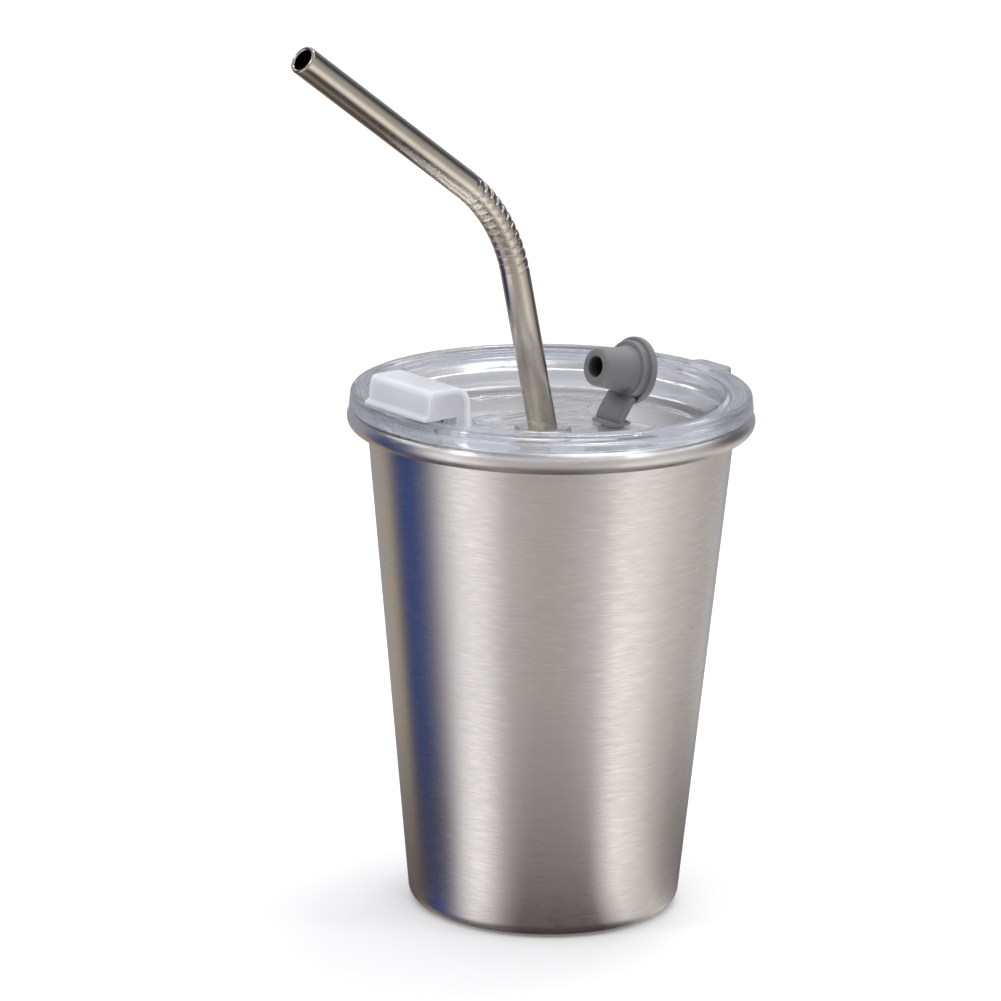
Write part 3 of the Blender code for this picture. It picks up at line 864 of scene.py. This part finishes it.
def build_world():
    """Soft surroundings, by the angle from the camera's side: two tall pale panels, with a blue wall and a
    warm edge on the left and grey between them. Over them are a dark band, a bright ring and a dim zenith,
    and under them a dark band and a dim floor. Matt surfaces see a plain soft sky instead."""
    world = bpy.data.worlds.new("studio")
    bpy.context.scene.world = world
    world.use_nodes = True
    tree = world.node_tree
    tree.nodes.clear()
    direction = node(tree, "TexCoord").outputs["Generated"]
    facing = node(
        tree, "VectorRotate", {"Angle": -CAMERA_BEARING}, {"Vector": direction}, rotation_type="Z_AXIS"
    ).outputs[0]
    turn, parts = turn_share(tree, facing)
    below = [
        (-180, (0.30, 0.27, 0.24)),
        (-146, (0.52, 0.43, 0.30)),
        (-131, (0.50, 0.38, 0.22)),
        (-124, (0.07, 0.08, 0.14)),
        (-116, (0.012, 0.06, 0.26)),
        (-104, (0.012, 0.07, 0.33)),
        (-96, (0.10, 0.12, 0.25)),
        (-84, (0.36, 0.30, 0.35)),
        (-72, (1.00, 0.98, 0.98)),
        (-57, (1.62, 1.58, 1.56)),
        (-46, (1.50, 1.46, 1.43)),
        (-26, (0.76, 0.71, 0.69)),
        (0, (0.68, 0.63, 0.60)),
        (16, (0.74, 0.69, 0.66)),
        (36, (1.05, 1.02, 1.00)),
        (50, (1.64, 1.60, 1.57)),
        (64, (1.56, 1.52, 1.48)),
        (94, (0.92, 0.88, 0.84)),
        (150, (0.84, 0.80, 0.76)),
        (180, (0.30, 0.27, 0.24)),
    ]
    above = [
        (-180, (0.40, 0.42, 0.50)),
        (-130, (0.38, 0.40, 0.48)),
        (-110, (0.05, 0.07, 0.16)),
        (-88, (0.10, 0.12, 0.20)),
        (-64, (1.20, 1.20, 1.24)),
        (-34, (0.66, 0.65, 0.66)),
        (34, (0.62, 0.61, 0.61)),
        (66, (0.84, 0.81, 0.79)),
        (96, (0.60, 0.58, 0.57)),
        (112, (0.14, 0.13, 0.13)),
        (132, (0.10, 0.09, 0.10)),
        (146, (0.34, 0.35, 0.41)),
        (180, (0.40, 0.42, 0.50)),
    ]
    wall, upper = (tint(tree, turn, [((a + 180) / 360, c) for a, c in bands]) for bands in (below, above))
    rise = parts["Z"]
    lifted = spread(tree, rise, 0, 1, -0.36, -0.16)
    colour = node(tree, "MixRGB", links={"Fac": lifted, "Color1": wall, "Color2": upper}).outputs[0]
    layers = (
        ((0.12, 0.12, 0.15, 1), 0.32, 0.42),
        ((2.4, 2.4, 2.5, 1), 0.55, 0.59),
        ((0.40, 0.41, 0.46, 1), 0.66, 0.72),
        ((0.15, 0.125, 0.135, 1), -0.56, -0.8),
        ((0.42, 0.385, 0.35, 1), -0.88, -0.95),
    )
    for layer, start, end in layers:
        share = spread(tree, rise, 0, 1, start, end)
        colour = node(tree, "MixRGB", {"Color2": layer}, {"Fac": share, "Color1": colour}).outputs[0]
    path = node(tree, "LightPath").outputs
    height = spread(tree, rise, 0, 1, -1, 1)
    ambient = tint(tree, height, [(0.3, (0.56, 0.56, 0.57)), (0.7, (1.05, 1.05, 1.06))])
    soft = node(tree, "MixRGB", {}, {"Fac": path["Is Diffuse Ray"], "Color1": colour, "Color2": ambient})
    seen = {"Fac": path["Is Camera Ray"], "Color1": soft.outputs[0]}
    mixed = node(tree, "MixRGB", {"Color2": (1, 1, 1, 1)}, seen)
    background = node(tree, "Background", {"Strength": 1.0}, {"Color": mixed.outputs[0]})
    node(tree, "OutputWorld", links={"Surface": background.outputs[0]})


def build_floor():
    """A wide, plain pale floor, seen by the camera only; the world stands in for it in reflections."""
    tool = bmesh.new()
    bmesh.ops.create_grid(tool, x_segments=1, y_segments=1, size=1.0)
    mesh = bpy.data.meshes.new("floor")
    tool.to_mesh(mesh)
    tool.free()
    floor = bpy.data.objects.new("floor", mesh)
    floor.scale = (12, 12, 1)
    floor.location.z = -0.0002  # just under the foot
    bpy.context.collection.objects.link(floor)
    made, tree, shader = new_material("pale_floor")
    speck = grain(tree, (40, 40, 40), detail=2)
    colour = tint(tree, speck, [(0.3, (0.93, 0.93, 0.93)), (0.7, (0.95, 0.95, 0.95))])
    fill(tree, shader, {"Roughness": 0.9, "Specular IOR Level": 0.1}, {"Base Color": colour})
    mesh.materials.append(made)
    floor.visible_glossy = False
    floor.visible_transmission = False
    floor.visible_diffuse = False


def build_floor_shade():
    """A dark ring that only reflections see: painted shade for the table top close round the foot as the
    steel reflects it, dim, but lit below the two soft panels.
    """
    near, far = FOOT_RADIUS - 3, FOOT_RADIUS + 125
    tool = bmesh.new()
    steps = 96
    turns = [2 * math.pi * i / steps for i in range(steps)]
    inner, outer = (
        [tool.verts.new((reach * MM * math.cos(a), reach * MM * math.sin(a), 0)) for a in turns]
        for reach in (near, far)
    )
    for i in range(steps):
        j = (i + 1) % steps
        tool.faces.new([inner[i], outer[i], outer[j], inner[j]])
    mesh = bpy.data.meshes.new("floor_shade")
    tool.to_mesh(mesh)
    tool.free()
    shade = bpy.data.objects.new("floor_shade", mesh)
    shade.location.z = 0.0001  # just over the floor
    shade.rotation_euler.z = CAMERA_BEARING
    bpy.context.collection.objects.link(shade)
    made = bpy.data.materials.new("floor_shade")
    made.use_nodes = True
    tree = made.node_tree
    tree.nodes.clear()
    place = node(tree, "TexCoord").outputs["Object"]
    reach = node(tree, "VectorMath", links={0: place}, operation="LENGTH").outputs["Value"]
    turn, _ = turn_share(tree, place)
    # How deep the painted shade is, by the angle from the camera's side: none below the two soft panels.
    depths = ((-180, 0.9), (-96, 0.9), (-78, 0.85), (-64, 0.4), (-54, 0.0), (-38, 0.0))
    depths += ((-24, 0.5), (-10, 1.0), (28, 1.0), (38, 0.5), (46, 0.0), (66, 0.0))
    depths += ((82, 0.45), (100, 0.7), (124, 0.9), (180, 0.9))
    depth = tint(tree, turn, [((a + 180) / 360, (v, v, v)) for a, v in depths])
    fade = spread(tree, reach, 1.0, 0.0, near * MM, far * MM)
    eased = node(tree, "Math", {1: 0.75}, {0: fade}, operation="POWER").outputs[0]
    cover = node(tree, "Math", links={0: eased, 1: depth}, operation="MULTIPLY").outputs[0]
    # The dim glow is the painted shade that the steel reflects near its foot.
    dim = node(tree, "Emission", {"Color": (0.075, 0.055, 0.055, 1), "Strength": 1.0}).outputs[0]
    clear = node(tree, "BsdfTransparent").outputs[0]
    mixed = node(tree, "MixShader", links={0: cover, 1: clear, 2: dim}).outputs[0]
    node(tree, "OutputMaterial", links={"Surface": mixed})
    mesh.materials.append(made)
    shade.visible_camera = False
    shade.visible_diffuse = False
    shade.visible_transmission = False
    shade.visible_shadow = False


def area_light(name, azimuth, elevation, distance, size, power):
    """A soft panel at an angle from the camera's side (to the right when positive), aimed at the cup."""
    turn = CAMERA_BEARING + math.radians(azimuth)
    rise = math.radians(elevation)
    back = Vector((math.cos(turn) * math.cos(rise), math.sin(turn) * math.cos(rise), math.sin(rise)))
    data = bpy.data.lights.new(name, "AREA")
    data.shape = "RECTANGLE"
    data.size, data.size_y = size
    data.energy = power
    lamp = bpy.data.objects.new(name, data)
    lamp.location = Vector((0, 0, 0.08)) + back * distance
    lamp.rotation_mode = "QUATERNION"
    lamp.rotation_quaternion = back.to_track_quat("Z", "Y")
    bpy.context.collection.objects.link(lamp)


def cup_light(power):
    """A small round light low in the cup, facing up, so that its inside shows through the clear lid."""
    data = bpy.data.lights.new("cup_light", "AREA")
    data.shape = "DISK"
    data.size = 0.056
    data.energy = power
    lamp = bpy.data.objects.new("cup_light", data)
    lamp.location = (0, 0, 0.03)
    lamp.rotation_euler = (math.pi, 0, 0)
    lamp.visible_camera = False
    lamp.visible_transmission = False
    bpy.context.collection.objects.link(lamp)


def build_studio():
    build_camera()
    build_world()
    build_floor()
    build_floor_shade()
    cup_light(0.03)
    area_light("overhead", 150, 70, 1.6, (0.5, 0.4), 5)
    area_light("left_glint", -62, 48, 1.4, (0.12, 0.12), 1.5)
    area_light("right_glint", 70, 55, 1.4, (0.12, 0.12), 1.2)
    scene = bpy.context.scene
    scene.view_settings.view_transform = "Standard"


def main():
    build_studio()
    silicone = grey_silicone()
    seals = clear_silicone()
    build_cup(brushed_steel())
    build_lid(clear_plastic())
    build_seal_ring(seals)
    build_hood(frosted_plastic())
    build_seal_pad(seals)
    build_straw(straw_steel())
    build_plug_head(silicone)
    build_strap(silicone)
    build_anchor(silicone)


main()
